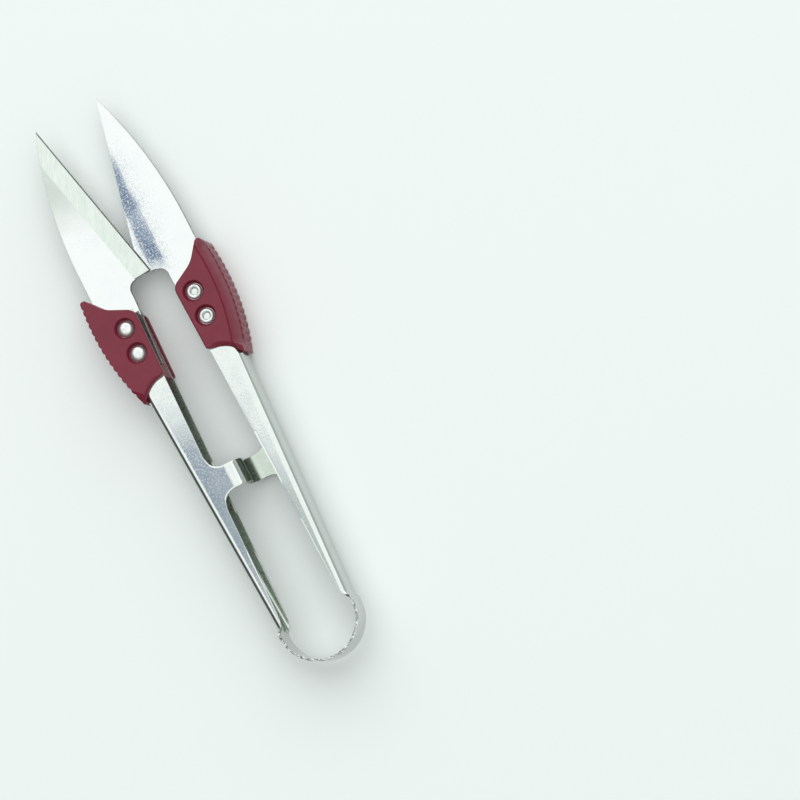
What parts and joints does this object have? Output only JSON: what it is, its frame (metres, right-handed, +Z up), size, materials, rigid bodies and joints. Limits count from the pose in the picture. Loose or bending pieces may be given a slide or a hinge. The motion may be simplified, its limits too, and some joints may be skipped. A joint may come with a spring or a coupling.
{
  "type": "thread snips",
  "caption": "Spring thread snips: a bent steel bow frame with interlocking stop hooks, riveted pointed blades and ribbed moulded finger grips.",
  "frame": {"origin": "middle of the outline, on the plane that the undersides of the grips rest on", "axes": "+Y towards the blade tips, +Z up through the thickness, +X across towards the arm whose blade lies underneath"},
  "size_m": [0.0288, 0.124, 0.01],
  "materials": {
    "spring_steel": "bright polished spring steel strip with sheared edges",
    "blade_steel": "polished flats with fine grinding lines on the bevel",
    "burgundy_plastic": "satin moulded plastic, burgundy",
    "rivet_steel": "bright plated"
  },
  "bodies": {
    "bow": {"bow_spring": "spring_steel"},
    "left_half": {"left_arm": "spring_steel", "left_blade": "blade_steel", "left_grip": "burgundy_plastic", "left_front_rivet": "rivet_steel", "left_rear_rivet": "rivet_steel"},
    "right_half": {"right_arm": "spring_steel", "right_blade": "blade_steel", "right_grip": "burgundy_plastic", "right_front_rivet": "rivet_steel", "right_rear_rivet": "rivet_steel"}
  },
  "joints": [
    {"name": "left_squeeze", "type": "hinge", "parent": "bow", "child": "left_half", "pos_m": [-0.00566, -0.05832, 0.005], "axis": [0, 0, -1], "range_deg": [0, 3.4], "stiffness_Nm_per_rad": 4, "springref_deg": -1.15},
    {"name": "right_squeeze", "type": "hinge", "parent": "bow", "child": "right_half", "pos_m": [0.00566, -0.05832, 0.005], "axis": [0, 0, 1], "range_deg": [0, 3.4], "stiffness_Nm_per_rad": 4, "springref_deg": -1.15}
  ],
  "couplings": [
    {"joint": "right_squeeze", "follows": "left_squeeze", "ratio": 1}
  ]
}
